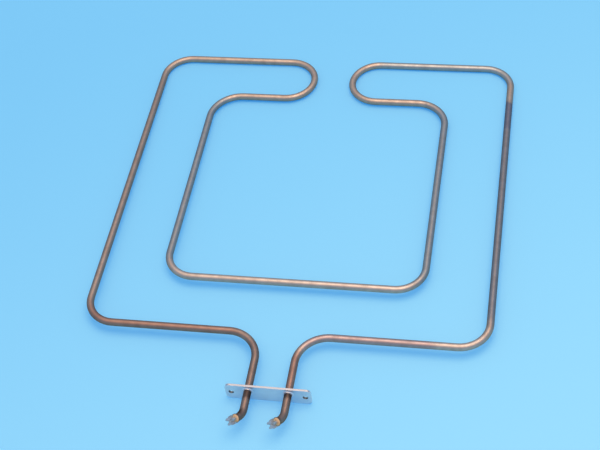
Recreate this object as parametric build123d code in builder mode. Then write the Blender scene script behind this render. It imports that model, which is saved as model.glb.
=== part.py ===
from build123d import *
import os
from math import cos, radians, sin, tan

# Tubular oven element: one compacted sheath bent into a double loop, with a flange
# plate across its two legs and a push-on tab at each end.
# Frame: origin midway between the two screw holes on the seat side of the flange,
# +Y into the oven along the legs, +X to the right, +Z up.

# Sheath
tube_diameter = 6.5
tube_wall = 0.5
leg_spacing = 33.8          # centre to centre of the two legs
outer_width = 349.1         # centre to centre of the outer side runs
inner_width = 230.8         # centre to centre of the inner side runs
hairpin_spacing = 90.9      # centre to centre of the two hairpin bends
front_reach = 59.1          # flange seat to the centre line of the front bars
inner_front_reach = 114.6   # flange seat to the inner front bar
back_reach = 396.7          # flange seat to the back bars

# Bends, all to the centre line
leg_bend = 27.3
corner_bend = 25.6
inner_back_bend = 29.0
hairpin_bend = 26.1

# Tube ends behind the flange
tail_length = 17.2          # straight leg between the seat and the end bend
end_bend = 14.5
end_angle = 42.0            # turn of the end bend, degrees
end_lift = 45.0             # slope of the plane of that bend, degrees from level
neck_length = 0.3           # straight tube between the end bend and the bell
bell_length = 2.2           # flared mouth that holds the seal
bell_diameter = 7.7
seal_dome = 0.5             # height of the resin above the rim
seal_crown = 4.5            # radius of its rounded face

# Inside the sheath
pin_diameter = 2.3
pin_out = 4.6               # pin standing out of the rim
cold_length = 22.0          # seat to the inner end of each cold pin
coil_diameter = 2.4

# Terminal tab, folded from thin strip
strip_thickness = 0.4
tab_width = 6.3
tab_seam = 1.5              # valley between the two folded edges
tab_length = 1.4            # parallel part of the blade
tip_length = 2.0            # tapered nose of the blade
tip_width = 5.0
notch_depth = 3.0           # vee cut into the nose
notch_width = 3.2
shoulder_width = 7.8
shoulder_gap = 1.4          # rim to the foot of the shoulder
shoulder_length = 3.4
shoulder_slope = 1.2        # run in which the shoulder narrows to the blade
ear_height = 1.6            # upturned sides of the shoulder

# Flange plate
flange_width = 72.0
flange_height = 18.0
flange_thickness = 2.0
flange_corner = 4.0
flange_edge = 0.25
screw_spacing = 62.0
screw_hole = 4.5
tube_rise = 2.5             # tube axis above the line of the screw holes
braze_gap = 0.05
collar_wall = 0.95
collar_height = 1.2
collar_root = 0.9
draw_radius = 0.8           # rounded entry on the oven side of each collar

tube_radius = tube_diameter / 2
bore_radius = tube_radius - tube_wall
pin_radius = pin_diameter / 2
bell_radius = bell_diameter / 2
leg_x = leg_spacing / 2
outer_x = outer_width / 2
inner_x = inner_width / 2
hairpin_x = hairpin_spacing / 2
return_reach = back_reach - 2 * hairpin_bend
end_setback = end_bend * tan(radians(end_angle) / 2)
end_stub = neck_length + bell_length
sides = {"left": -1, "right": 1}

turn = radians(end_angle)
lift = radians(end_lift)
end_out = Vector(-sin(turn) * cos(lift), -cos(turn), sin(turn) * sin(lift))
end_across = Vector(cos(turn) * cos(lift), -sin(turn), -cos(turn) * sin(lift))
end_up = end_out.cross(end_across)


def end_corner(side):
    """Where the two straights of an end bend would meet."""
    return Vector(side * leg_x, -tail_length - end_setback, tube_rise)


def rim_centre(side):
    return end_corner(side) + end_out * (end_setback + end_stub)


def bell_base(side):
    return rim_centre(side) - end_out * bell_length


def axial_plane(side):
    """Along the tube end: x across the tab, y out of the tube."""
    return Plane(origin=rim_centre(side), x_dir=end_across, z_dir=-end_up)


def tab_plane(side, height):
    """Parallel to the tab at a height over the pin's axis, y out of the tube."""
    origin = rim_centre(side) + end_up * height
    return Plane(origin=origin, x_dir=-end_across, z_dir=end_up)


def rim_axis(side):
    return Axis(rim_centre(side), end_out)


def outer_run(side):
    corners = [
        (leg_x, front_reach),
        (outer_x, front_reach),
        (outer_x, back_reach),
        (hairpin_x, back_reach),
    ]
    return [Vector(side * x, y, tube_rise) for x, y in corners]


def hairpin(side):
    tip_x = side * (hairpin_x - hairpin_bend)
    return ThreePointArc(
        (side * hairpin_x, back_reach, tube_rise),
        (tip_x, back_reach - hairpin_bend, tube_rise),
        (side * hairpin_x, return_reach, tube_rise),
    )


def element_line(left_start, right_start, start_bends):
    """Centre line from one start, round both loops, to the other start."""
    outer_bends = start_bends + [leg_bend, corner_bend, corner_bend]
    inner_corners = [
        (-hairpin_x, return_reach),
        (-inner_x, return_reach),
        (-inner_x, inner_front_reach),
        (inner_x, inner_front_reach),
        (inner_x, return_reach),
        (hairpin_x, return_reach),
    ]
    with BuildLine() as line:
        FilletPolyline(left_start + outer_run(-1), radius=outer_bends)
        hairpin(-1)
        FilletPolyline(
            [Vector(x, y, tube_rise) for x, y in inner_corners],
            radius=[inner_back_bend, corner_bend, corner_bend, inner_back_bend],
        )
        hairpin(1)
        FilletPolyline((right_start + outer_run(1))[::-1], radius=outer_bends[::-1])
    return line.line


def run_ring(line, start_plane, outer_radius, inner_radius):
    """A round section, hollow where it has an inner radius, swept along a line."""
    with BuildPart() as run:
        with BuildSketch(start_plane):
            Circle(outer_radius)
            if inner_radius:
                Circle(inner_radius, mode=Mode.SUBTRACT)
        sweep(path=line)
    return run.part


def finish(part, name):
    part.label = name
    export_step(part, f"parts/{name}.step")


os.makedirs("parts", exist_ok=True)

full_line = element_line(
    [bell_base(-1), end_corner(-1)],
    [bell_base(1), end_corner(1)],
    [end_bend],
)
heated_line = element_line(
    [Vector(-leg_x, cold_length, tube_rise)],
    [Vector(leg_x, cold_length, tube_rise)],
    [],
)
left_base_plane = Plane(origin=bell_base(-1), x_dir=end_across, z_dir=-end_out)
left_heated_plane = Plane(origin=(-leg_x, cold_length, tube_rise), z_dir=(0, 1, 0))

# Sheath with its flared mouths
with BuildPart() as sheath_tube:
    add(run_ring(full_line, left_base_plane, tube_radius, bore_radius))
    for side in sides.values():
        with BuildSketch(axial_plane(side)):
            Polygon(
                (bore_radius, -bell_length),
                (tube_radius, -bell_length),
                (bell_radius, 0),
                (bell_radius - tube_wall, 0),
                align=None,
            )
        revolve(axis=rim_axis(side))
finish(sheath_tube.part, "sheath_tube")

# Resistance wire, as the round envelope of its close turns
with BuildPart() as resistance_coil:
    add(run_ring(heated_line, left_heated_plane, coil_diameter / 2, 0))
finish(resistance_coil.part, "resistance_coil")

# Cold pins
pins = {}
for name, side in sides.items():
    pin_tip = rim_centre(side) + end_out * pin_out
    with BuildLine() as pin_line:
        FilletPolyline(
            [pin_tip, end_corner(side), Vector(side * leg_x, cold_length, tube_rise)],
            radius=[end_bend],
        )
    with BuildPart() as cold_pin:
        with BuildSketch(Plane(origin=pin_tip, x_dir=end_across, z_dir=-end_out)):
            Circle(pin_radius)
        sweep(path=pin_line.line)
    pins[name] = cold_pin.part
    finish(cold_pin.part, f"cold_pin_{name}")

# Compacted oxide powder between the sheath, the coil and the pins
with BuildPart() as insulation_core:
    add(run_ring(full_line, left_base_plane, bore_radius, 0))
    add(resistance_coil.part, mode=Mode.SUBTRACT)
    for pin in pins.values():
        add(pin, mode=Mode.SUBTRACT)
finish(insulation_core.part, "insulation_core")

# Resin seal in each bell
for name, side in sides.items():
    with BuildPart() as end_seal:
        with BuildSketch(axial_plane(side)):
            with BuildLine():
                Polyline(
                    (pin_radius, seal_dome),
                    (pin_radius, -bell_length),
                    (bore_radius, -bell_length),
                    (bell_radius - tube_wall, 0),
                )
                RadiusArc((bell_radius - tube_wall, 0), (pin_radius, seal_dome), -seal_crown)
            make_face()
        revolve(axis=rim_axis(side))
    finish(end_seal.part, f"end_seal_{name}")

# Push-on tabs, lying in the plane of the end bends with the pin welded on their floor
shoulder_foot = shoulder_gap
shoulder_top = shoulder_foot + shoulder_length
blade_foot = shoulder_top + shoulder_slope
nose_foot = blade_foot + tab_length
nose_tip = nose_foot + tip_length
floor_top = -pin_radius
shoulder_outline = [(shoulder_width / 2, shoulder_foot)]
blade_outline = [
    (shoulder_width / 2, shoulder_top),
    (tab_width / 2, blade_foot),
    (tab_width / 2, nose_foot),
    (tip_width / 2, nose_tip),
]


def both_sides(points):
    """A closed outline from the points of its right side, foot to tip."""
    return points + [(-x, y) for x, y in reversed(points)]


for name, side in sides.items():
    with BuildPart() as terminal:
        with BuildSketch(tab_plane(side, floor_top - strip_thickness)):
            Polygon(*both_sides(shoulder_outline + blade_outline), align=None)
        extrude(amount=strip_thickness)
        with BuildSketch(tab_plane(side, floor_top)):
            Polygon(*both_sides(blade_outline), align=None)
            with Locations((0, (shoulder_top + nose_tip) / 2)):
                Rectangle(tab_seam, nose_tip - shoulder_top, mode=Mode.SUBTRACT)
            with Locations((0, (shoulder_foot + shoulder_top) / 2)):
                with GridLocations(shoulder_width - strip_thickness, 0, 2, 1):
                    Rectangle(strip_thickness, shoulder_length)
        extrude(amount=strip_thickness)
        with BuildSketch(tab_plane(side, floor_top + strip_thickness)):
            with Locations((0, (shoulder_foot + shoulder_top) / 2)):
                with GridLocations(shoulder_width - strip_thickness, 0, 2, 1):
                    Rectangle(strip_thickness, shoulder_length)
        extrude(amount=ear_height - strip_thickness)
        with BuildSketch(tab_plane(side, floor_top - strip_thickness)):
            Polygon(
                (-notch_width / 2, nose_tip),
                (0, nose_tip - notch_depth),
                (notch_width / 2, nose_tip),
                align=None,
            )
        extrude(amount=2 * strip_thickness, mode=Mode.SUBTRACT)
    finish(terminal.part, f"terminal_{name}")

# Flange plate, pierced and drawn out into a collar round each leg
tube_hole_radius = tube_radius + braze_gap
collar_radius = tube_hole_radius + collar_wall
legs = [(side * leg_x, tube_rise) for side in sides.values()]
with BuildPart() as flange_plate:
    with BuildSketch(Plane.XZ):
        RectangleRounded(flange_width, flange_height, flange_corner)
    extrude(amount=-flange_thickness)
    outer_edges = flange_plate.edges().filter_by(Axis.Y, reverse=True)
    fillet(outer_edges, flange_edge)
    with BuildSketch(Plane.XZ):
        with Locations(legs):
            Circle(collar_radius)
    extrude(amount=collar_height)
    roots = flange_plate.edges().filter_by(GeomType.CIRCLE).filter_by_position(Axis.Y, 0, 0)
    fillet(roots.filter_by(lambda edge: abs(edge.radius - collar_radius) < 1e-4), collar_root)
    with BuildSketch(Plane.XZ.offset(collar_height)):
        with Locations(legs):
            Circle(tube_hole_radius)
        with GridLocations(screw_spacing, 0, 2, 1):
            Circle(screw_hole / 2)
    extrude(amount=-collar_height - flange_thickness, mode=Mode.SUBTRACT)
    entries = flange_plate.edges().filter_by(GeomType.CIRCLE)
    entries = entries.filter_by_position(Axis.Y, flange_thickness, flange_thickness)
    fillet(entries.filter_by(lambda edge: abs(edge.radius - tube_hole_radius) < 1e-4), draw_radius)
finish(flange_plate.part, "flange_plate")
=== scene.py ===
from math import atan2, cos, sin

import bpy
from mathutils import Matrix, Vector


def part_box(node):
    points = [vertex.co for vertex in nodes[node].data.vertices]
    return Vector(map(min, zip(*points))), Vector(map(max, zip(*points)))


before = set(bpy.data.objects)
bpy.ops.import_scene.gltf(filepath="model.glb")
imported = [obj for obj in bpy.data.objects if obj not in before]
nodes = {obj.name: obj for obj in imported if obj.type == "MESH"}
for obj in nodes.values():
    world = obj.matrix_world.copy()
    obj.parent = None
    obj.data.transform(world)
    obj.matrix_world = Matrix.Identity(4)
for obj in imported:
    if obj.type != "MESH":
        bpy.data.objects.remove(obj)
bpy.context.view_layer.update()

mm = 0.001
mixFactor, mixA, mixB, mixColour = 0, 6, 7, 2    # sockets of a colour mix node
noiseLow, noiseHigh = 0.3, 0.7    # most values of a noise texture lie between these
print("loaded", len(nodes), "solids")


def linear(hexColour):
    # the standard sRGB curve, from a hex colour to linear channels and full alpha
    channels = [int(hexColour[i:i + 2], 16) / 255 for i in (1, 3, 5)]
    return [c / 12.92 if c < 0.04045 else ((c + 0.055) / 1.055) ** 2.4 for c in channels] + [1.0]


def addNode(tree, kind, inputs=None, **settings):
    node = tree.nodes.new(kind)
    for name, value in settings.items():
        setattr(node, name, value)
    for socket, value in (inputs or {}).items():
        if isinstance(value, bpy.types.NodeSocket):
            tree.links.new(value, node.inputs[socket])
        else:
            node.inputs[socket].default_value = value
    return node


def newMaterial(name):
    # an empty node tree with its output, and the coordinates in the object's own metres
    material = bpy.data.materials.new(name)
    material.use_nodes = True
    tree = material.node_tree
    tree.nodes.clear()
    return material, tree, addNode(tree, "ShaderNodeTexCoord").outputs["Object"]


def perMetre(sizeMm):
    return 1000 / sizeMm    # a pattern whose features are sizeMm apart


# camera
view = {
    "yaw": 0.2798, "elevation": 0.8489, "roll": -0.1552,   # radians
    "distance": 1.1759, "target": (-0.00297, 0.18121, 0.0025),
    "lens": 77.94, "sensor": 36.0,
}
back = Vector((sin(view["yaw"]) * cos(view["elevation"]),
               -cos(view["yaw"]) * cos(view["elevation"]), sin(view["elevation"])))
level = (-back).cross(Vector((0, 0, 1))).normalized()
upright = level.cross(-back)
right = cos(view["roll"]) * level + sin(view["roll"]) * upright
up = -sin(view["roll"]) * level + cos(view["roll"]) * upright
camera = bpy.data.objects.new("camera", bpy.data.cameras.new("camera"))
camera.data.lens = view["lens"]
camera.data.sensor_width = view["sensor"]
camera.matrix_world = Matrix.Translation(Vector(view["target"]) + back * view["distance"]) @ \
    Matrix((right, up, back)).transposed().to_4x4()
bpy.context.scene.collection.objects.link(camera)
bpy.context.scene.camera = camera
print("camera placed")

# table top, which the element lies on by the flange's lower edge and the back bars
table = {
    "near": "#a4c7a6", "far": "#80aa94", "haze": "#0070c6",   # haze keeps the shadows blue
    "paintedLightTowards": (0.5, -0.87, 0.0), "fade": 0.55,    # direction in which painted light makes it paler, and over how far
    "roughness": 0.6, "gloss": 0.2, "size": 14.0,
    "tubeRadius": 3.25 * mm, "edgeInset": 1.75 * mm,
}
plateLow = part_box("flange_plate")[0]
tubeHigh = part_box("sheath_tube")[1]
backBarY = tubeHigh.y - table["tubeRadius"]
plateFoot = Vector((0, table["edgeInset"], plateLow.z))
coilLow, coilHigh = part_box("resistance_coil")
axisZ = (coilLow.z + coilHigh.z) / 2
slope = atan2(axisZ - table["tubeRadius"] - plateFoot.z, backBarY - plateFoot.y)
bpy.ops.mesh.primitive_plane_add(size=table["size"], location=plateFoot, rotation=(slope, 0, 0))
tableTop = bpy.context.object
tableTop.name = "table_top"
# pressed laminate sheet: pale blue with hardly any gloss, painted lighter towards the front right as a
# pool of light, and shadows that stay blue
laminate, tree, where = newMaterial("satinBlueLaminate")
across = addNode(tree, "ShaderNodeVectorMath", {0: where, 1: table["paintedLightTowards"]}, operation="DOT_PRODUCT")
fade = addNode(tree, "ShaderNodeMapRange", {
    "Value": across.outputs["Value"], "From Min": -table["fade"], "From Max": table["fade"]},
    interpolation_type="SMOOTHSTEP")
# painted light: the two blues blend so that the table grows paler towards the front right
blue = addNode(tree, "ShaderNodeMix", {mixFactor: fade.outputs[0], mixA: linear(table["far"]),
                                       mixB: linear(table["near"])}, data_type="RGBA")
body = addNode(tree, "ShaderNodeBsdfPrincipled", {
    "Base Color": blue.outputs[mixColour], "Roughness": table["roughness"],
    "Specular IOR Level": table["gloss"]})
rays = addNode(tree, "ShaderNodeLightPath")
seen = addNode(tree, "ShaderNodeMath", {0: rays.outputs["Is Camera Ray"],
                                        1: rays.outputs["Is Glossy Ray"]}, operation="MAXIMUM")
seen = addNode(tree, "ShaderNodeMath", {0: seen.outputs[0],
                                        1: rays.outputs["Is Transmission Ray"]}, operation="MAXIMUM")
haze = addNode(tree, "ShaderNodeEmission", {"Color": linear(table["haze"]),
                                            "Strength": seen.outputs[0]})
shader = addNode(tree, "ShaderNodeAddShader", {0: body.outputs[0], 1: haze.outputs[0]})
addNode(tree, "ShaderNodeOutputMaterial", {"Surface": shader.outputs[0]})
tableTop.data.materials.append(laminate)
print("table placed, slope", round(slope, 4))

# light: one soft box overhead, a little behind, in a plain room with pale blue walls
light = {
    "wall": "#94bbe6", "ceiling": "#f4f2ee", "wallTop": (0.62, 0.86), "roomStrength": 1.15,
    "boxWatts": 9.5, "boxSize": 1.2, "boxHeight": 1.5, "boxShift": (0.2, 0.04),
    "boxColour": "#fff9f2", "aim": (0.0, 0.2, 0.0),
}
world = bpy.data.worlds.new("room")
bpy.context.scene.world = world
world.use_nodes = True
world.node_tree.nodes.clear()
tree = world.node_tree
facing = addNode(tree, "ShaderNodeTexCoord")
height = addNode(tree, "ShaderNodeSeparateXYZ", {0: facing.outputs["Generated"]})
rise = addNode(tree, "ShaderNodeMapRange", {
    "Value": height.outputs["Z"], "From Min": light["wallTop"][0], "From Max": light["wallTop"][1]},
    interpolation_type="SMOOTHSTEP")
room = addNode(tree, "ShaderNodeMix", {mixFactor: rise.outputs[0], mixA: linear(light["wall"]),
                                       mixB: linear(light["ceiling"])}, data_type="RGBA")
glow = addNode(tree, "ShaderNodeBackground", {"Color": room.outputs[mixColour],
                                              "Strength": light["roomStrength"]})
addNode(tree, "ShaderNodeOutputWorld", {"Surface": glow.outputs[0]})
lamp = bpy.data.lights.new("soft_box", "AREA")
lamp.energy = light["boxWatts"]
lamp.color = linear(light["boxColour"])[:3]
lamp.size = light["boxSize"]
softBox = bpy.data.objects.new("soft_box", lamp)
aim = Vector(light["aim"])
softBox.location = aim + Vector((*light["boxShift"], light["boxHeight"]))
softBox.rotation_euler = (aim - softBox.location).to_track_quat("-Z", "Y").to_euler()
bpy.context.scene.collection.objects.link(softBox)
bpy.context.scene.view_settings.view_transform = "Standard"
print("light set")

# sheath
sheath = {
    # tints of the oxide film, mixed with painted light and shade: each bar's tone also follows how
    # brightly it is lit, cross bars mostly lighter than lengthwise runs
    "tints": {
        "straw": "#c2a18c", "pale": "#c9ac9a", "silver": "#b1a49a", "ash": "#a19791",
        "rose": "#b7958b", "brown": "#aa8d7d", "copper": "#a67b69", "umber": "#977869",
        "plum": "#928581", "violet": "#857b80", "darkSpotTone": "#5d4a42",
    },
    "patchy": 0.12,
    # middle, half size, soft edge and tint; straw everywhere else
    "zones": [
        ((0, 115), (98, 8), 22, "pale"),              # inner front bar
        ((-115, 235), (7, 92), 22, "ash"),            # inner side runs
        ((115, 228), (7, 98), 22, "ash"),
        ((112, 397), (62, 8), 18, "silver"),          # right back bar
        ((94, 59), (58, 8), 20, "rose"),              # right front bar
        ((150, 62), (9, 8), 14, "pale"),
        ((-175, 208), (7, 150), 22, "brown"),         # outer side runs
        ((175, 215), (7, 120), 20, "plum"),
        ((175, 327), (7, 16), 4, "violet"),           # darker band below the right back corner
        ((-108, 60), (64, 9), 22, "copper"),          # left front bar and the tube ends
        ((18, 8), (8, 24), 14, "copper"),
        ((-20, 22), (9, 24), 14, "umber"),
        ((0, -32), (40, 24), 8, "umber"),
    ],
    "darkSpots": [((-15, -3), (2, 3), 4), ((18, -2), (3, 1), 4), ((-20, -22), (1, 1), 4)],
    "mottleMm": 7.0, "mottleDetail": 5.0, "mottleRoughness": 0.6,    # patches of the film
    "driftMm": 16.0, "driftDetail": 3.0, "driftReach": 30.0,    # how far the zones' borders wander
    "grainMm": 0.9, "grainDetail": 2.0, "grainStrength": 0.5,    # coarser than real scale, to show
    "roughness": (0.4, 0.52), "edge": "#c09c88", "grainDepthMm": 0.012,
}


def zoneMask(tree, place, middle, half, edge):
    # 1 inside a box in the plane of the loops, falling to 0 over a soft edge, all in millimetres
    over = []
    for axis in (0, 1):
        away = addNode(tree, "ShaderNodeMath", {0: place.outputs[axis], 1: middle[axis] * mm},
                       operation="SUBTRACT")
        away = addNode(tree, "ShaderNodeMath", {0: away.outputs[0]}, operation="ABSOLUTE")
        over.append(addNode(tree, "ShaderNodeMath", {0: away.outputs[0], 1: half[axis] * mm},
                            operation="SUBTRACT"))
    most = addNode(tree, "ShaderNodeMath", {0: over[0].outputs[0], 1: over[1].outputs[0]},
                   operation="MAXIMUM")
    return addNode(tree, "ShaderNodeMapRange", {
        "Value": most.outputs[0], "From Min": 0.0, "From Max": edge * mm, "To Min": 1.0, "To Max": 0.0},
        interpolation_type="SMOOTHSTEP").outputs[0]


# drawn stainless tube, oxidised by its own heat: satin metal in straw, brown and violet patches,
# partly painted light and shade, with a soft bright line along each bar and no sharp reflection
stainlessTube, tree, where = newMaterial("heatTintedStainlessTube")
mottle = addNode(tree, "ShaderNodeTexNoise",
                 {"Vector": where, "Scale": perMetre(sheath["mottleMm"]),
                  "Detail": sheath["mottleDetail"],
                  "Roughness": sheath["mottleRoughness"]})
drift = addNode(tree, "ShaderNodeTexNoise",
                {"Vector": where, "Scale": perMetre(sheath["driftMm"]),
                 "Detail": sheath["driftDetail"]})
grain = addNode(tree, "ShaderNodeTexNoise",
                {"Vector": where, "Scale": perMetre(sheath["grainMm"]),
                 "Detail": sheath["grainDetail"]})
wander = addNode(tree, "ShaderNodeVectorMath", {0: drift.outputs["Color"], 1: (0.5, 0.5, 0.5)},
                 operation="SUBTRACT")
wander = addNode(tree, "ShaderNodeVectorMath",
                 {0: wander.outputs[0], "Scale": sheath["driftReach"] * mm}, operation="SCALE")
wander = addNode(tree, "ShaderNodeVectorMath", {0: where, 1: wander.outputs[0]}, operation="ADD")
broad = addNode(tree, "ShaderNodeSeparateXYZ", {0: wander.outputs[0]})
close = addNode(tree, "ShaderNodeSeparateXYZ", {0: where})
colour = linear(sheath["tints"]["straw"])
# oxide tints together with painted light and shade: the zones make cross bars mostly lighter and
# lengthwise runs darker than the straw
for middle, half, edge, tint in sheath["zones"]:
    colour = addNode(tree, "ShaderNodeMix", {
        mixFactor: zoneMask(tree, broad, middle, half, edge), mixA: colour,
        mixB: linear(sheath["tints"][tint])}, data_type="RGBA").outputs[mixColour]
# darker spots where the tube leaves the plate and inside the left end bend
for middle, half, edge in sheath["darkSpots"]:
    colour = addNode(tree, "ShaderNodeMix", {
        mixFactor: zoneMask(tree, close, middle, half, edge), mixA: colour,
        mixB: linear(sheath["tints"]["darkSpotTone"])}, data_type="RGBA").outputs[mixColour]
uneven = addNode(tree, "ShaderNodeMapRange", {
    "Value": mottle.outputs["Fac"], "From Min": noiseLow, "From Max": noiseHigh,
    "To Min": 1.0 + sheath["patchy"], "To Max": 1.0 - sheath["patchy"]})
colour = addNode(tree, "ShaderNodeVectorMath", {0: colour, "Scale": uneven.outputs[0]},
                 operation="SCALE").outputs[0]
satin = addNode(tree, "ShaderNodeMapRange", {
    "Value": mottle.outputs["Fac"], "From Min": noiseLow, "From Max": noiseHigh,
    "To Min": sheath["roughness"][0], "To Max": sheath["roughness"][1]})
relief = addNode(tree, "ShaderNodeBump", {"Height": grain.outputs["Fac"],
                                          "Strength": sheath["grainStrength"],
                                          "Distance": sheath["grainDepthMm"] * mm})
shader = addNode(tree, "ShaderNodeBsdfPrincipled", {
    "Base Color": colour, "Metallic": 1.0, "Roughness": satin.outputs[0],
    "Specular Tint": linear(sheath["edge"]), "Normal": relief.outputs[0]})
addNode(tree, "ShaderNodeOutputMaterial", {"Surface": shader.outputs[0]})
print("sheath finished")

# flange plate
flange = {
    "zinc": "#f6ebed", "smudge": "#e0d5d9", "upwardFaceShade": "#cdbeb9",
    "edgeTilt": 0.7,    # faces whose normal rises more than this are painted warmer and darker, a shade set by facing
    "holeShade": "#77706d", "screwApart": 62.0, "holeShadeReach": 2.3,    # painted shade in the screw holes, distances in mm
    "roughness": (0.34, 0.48), "smudgeMm": 9.0, "smudgeDetail": 4.0,
    "rollMm": 0.7, "rollDetail": 2.0, "rollStretch": 30.0,    # coarser than real roll lines, to show
    "rollStrength": 0.12, "rollDepthMm": 0.004,
}
# pressed steel sheet, bright zinc plated: pale cool metal with dull smudges and fine roll lines,
# with painted shade: warmer and duller on the faces that look upward, dark grey in the screw holes
zincSheet, tree, where = newMaterial("zincPlatedSheet")
smudge = addNode(tree, "ShaderNodeTexNoise",
                 {"Vector": where, "Scale": perMetre(flange["smudgeMm"]),
                 "Detail": flange["smudgeDetail"]})
along = addNode(tree, "ShaderNodeMapping",
                {"Vector": where, "Scale": (1 / flange["rollStretch"], 1.0, 1.0)})
rollLines = addNode(tree, "ShaderNodeTexNoise",
                    {"Vector": along.outputs[0], "Scale": perMetre(flange["rollMm"]),
                     "Detail": flange["rollDetail"]})
cover = addNode(tree, "ShaderNodeMix", {mixFactor: smudge.outputs["Fac"], mixA: linear(flange["zinc"]),
                                        mixB: linear(flange["smudge"])}, data_type="RGBA")
# painted shade: faces that look upward take a warmer, darker tone
facing = addNode(tree, "ShaderNodeTexCoord")
upward = addNode(tree, "ShaderNodeSeparateXYZ", {0: facing.outputs["Normal"]})
upwardFaceShade = addNode(tree, "ShaderNodeMath", {0: upward.outputs["Z"], 1: flange["edgeTilt"]},
                  operation="GREATER_THAN")
cover = addNode(tree, "ShaderNodeMix", {mixFactor: upwardFaceShade.outputs[0], mixA: cover.outputs[mixColour],
                                        mixB: linear(flange["upwardFaceShade"])}, data_type="RGBA")
# painted shade: dark grey in and around the screw holes
spot = addNode(tree, "ShaderNodeVectorMath", {0: where}, operation="ABSOLUTE")
holeCentre = (0.5 * flange["screwApart"] * mm, 0.0, 0.0)
spot = addNode(tree, "ShaderNodeVectorMath", {0: spot.outputs[0], 1: holeCentre},
               operation="SUBTRACT")
spot = addNode(tree, "ShaderNodeVectorMath", {0: spot.outputs[0], 1: (1.0, 0.0, 1.0)},
               operation="MULTIPLY")
spot = addNode(tree, "ShaderNodeVectorMath", {0: spot.outputs[0]}, operation="LENGTH")
holeShade = addNode(tree, "ShaderNodeMath", {0: spot.outputs["Value"], 1: flange["holeShadeReach"] * mm},
               operation="LESS_THAN")
cover = addNode(tree, "ShaderNodeMix", {mixFactor: holeShade.outputs[0], mixA: cover.outputs[mixColour],
                                        mixB: linear(flange["holeShade"])}, data_type="RGBA")
polish = addNode(tree, "ShaderNodeMapRange", {
    "Value": smudge.outputs["Fac"], "From Min": noiseLow, "From Max": noiseHigh,
    "To Min": flange["roughness"][0], "To Max": flange["roughness"][1]})
relief = addNode(tree, "ShaderNodeBump", {"Height": rollLines.outputs["Fac"],
                                          "Strength": flange["rollStrength"],
                                          "Distance": flange["rollDepthMm"] * mm})
shader = addNode(tree, "ShaderNodeBsdfPrincipled", {
    "Base Color": cover.outputs[mixColour], "Metallic": 1.0, "Roughness": polish.outputs[0],
    "Normal": relief.outputs[0]})
addNode(tree, "ShaderNodeOutputMaterial", {"Surface": shader.outputs[0]})
print("flange finished")

# terminals and pins
strip = {"nickel": "#e2e1de", "dull": "#8f959c", "dullMm": 1.6, "dullDetail": 4.0,
         "roughness": (0.45, 0.6)}
# rolled strip and drawn rod, nickel plated: grey white satin metal, unevenly dulled
nickelStrip, tree, where = newMaterial("nickelPlatedStrip")
dull = addNode(tree, "ShaderNodeTexNoise",
               {"Vector": where, "Scale": perMetre(strip["dullMm"]),
                "Detail": strip["dullDetail"]})
cover = addNode(tree, "ShaderNodeMix", {mixFactor: dull.outputs["Fac"], mixA: linear(strip["nickel"]),
                                        mixB: linear(strip["dull"])}, data_type="RGBA")
polish = addNode(tree, "ShaderNodeMapRange", {
    "Value": dull.outputs["Fac"], "From Min": noiseLow, "From Max": noiseHigh,
    "To Min": strip["roughness"][0], "To Max": strip["roughness"][1]})
shader = addNode(tree, "ShaderNodeBsdfPrincipled", {
    "Base Color": cover.outputs[mixColour], "Metallic": 1.0, "Roughness": polish.outputs[0]})
addNode(tree, "ShaderNodeOutputMaterial", {"Surface": shader.outputs[0]})

# end seals
seal = {"resin": "#ffd09a", "shade": "#e0996a", "blotchMm": 2.0, "blotchDetail": 3.0,
        "roughness": 0.35, "ior": 1.5}
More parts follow.
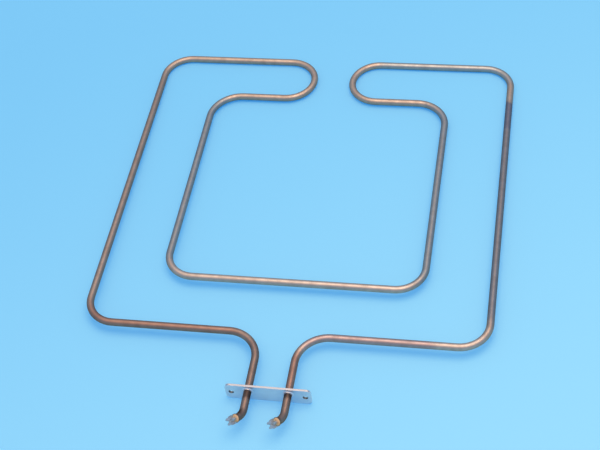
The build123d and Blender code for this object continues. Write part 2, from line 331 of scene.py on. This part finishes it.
# cast resin: golden, smooth and a little glossy, browner in blotches
castResin, tree, where = newMaterial("castGoldenResin")
blotch = addNode(tree, "ShaderNodeTexNoise",
                 {"Vector": where, "Scale": perMetre(seal["blotchMm"]),
                  "Detail": seal["blotchDetail"]})
cover = addNode(tree, "ShaderNodeMix", {mixFactor: blotch.outputs["Fac"], mixA: linear(seal["resin"]),
                                        mixB: linear(seal["shade"])}, data_type="RGBA")
shader = addNode(tree, "ShaderNodeBsdfPrincipled", {
    "Base Color": cover.outputs[mixColour], "Roughness": seal["roughness"], "IOR": seal["ior"]})
addNode(tree, "ShaderNodeOutputMaterial", {"Surface": shader.outputs[0]})

# inside the sheath
filling = {"wire": "#8c8683", "wireDull": "#5e5a58", "powder": "#f2efe8", "powderShade": "#d9d4ca",
           "grainMm": 0.4, "grainDetail": 3.0, "wireRoughness": 0.45, "powderRoughness": 0.9}
# drawn and annealed wire: grey metal with a dull film
resistanceWire, tree, where = newMaterial("annealedNickelChromeWire")
film = addNode(tree, "ShaderNodeTexNoise",
               {"Vector": where, "Scale": perMetre(filling["grainMm"]),
                "Detail": filling["grainDetail"]})
cover = addNode(tree, "ShaderNodeMix", {mixFactor: film.outputs["Fac"], mixA: linear(filling["wire"]),
                                        mixB: linear(filling["wireDull"])}, data_type="RGBA")
shader = addNode(tree, "ShaderNodeBsdfPrincipled", {
    "Base Color": cover.outputs[mixColour], "Metallic": 1.0, "Roughness": filling["wireRoughness"]})
addNode(tree, "ShaderNodeOutputMaterial", {"Surface": shader.outputs[0]})

# pressed powder: matt off-white, with specks drawn coarser than real grains so that they show
magnesiaPowder, tree, where = newMaterial("pressedMagnesiaPowder")
speck = addNode(tree, "ShaderNodeTexNoise",
                {"Vector": where, "Scale": perMetre(filling["grainMm"]),
                "Detail": filling["grainDetail"]})
cover = addNode(tree, "ShaderNodeMix", {mixFactor: speck.outputs["Fac"],
                                        mixA: linear(filling["powder"]),
                                        mixB: linear(filling["powderShade"])}, data_type="RGBA")
shader = addNode(tree, "ShaderNodeBsdfPrincipled", {
    "Base Color": cover.outputs[mixColour], "Roughness": filling["powderRoughness"]})
addNode(tree, "ShaderNodeOutputMaterial", {"Surface": shader.outputs[0]})

finishes = {
    "sheath_tube": stainlessTube, "flange_plate": zincSheet,
    "end_seal_left": castResin, "end_seal_right": castResin,
    "terminal_left": nickelStrip, "terminal_right": nickelStrip,
    "cold_pin_left": nickelStrip, "cold_pin_right": nickelStrip,
    "resistance_coil": resistanceWire, "insulation_core": magnesiaPowder,
}
for name, material in finishes.items():
    for place in nodes[name].material_slots:
        place.material = material
print("finishes given to", len(finishes), "pieces")
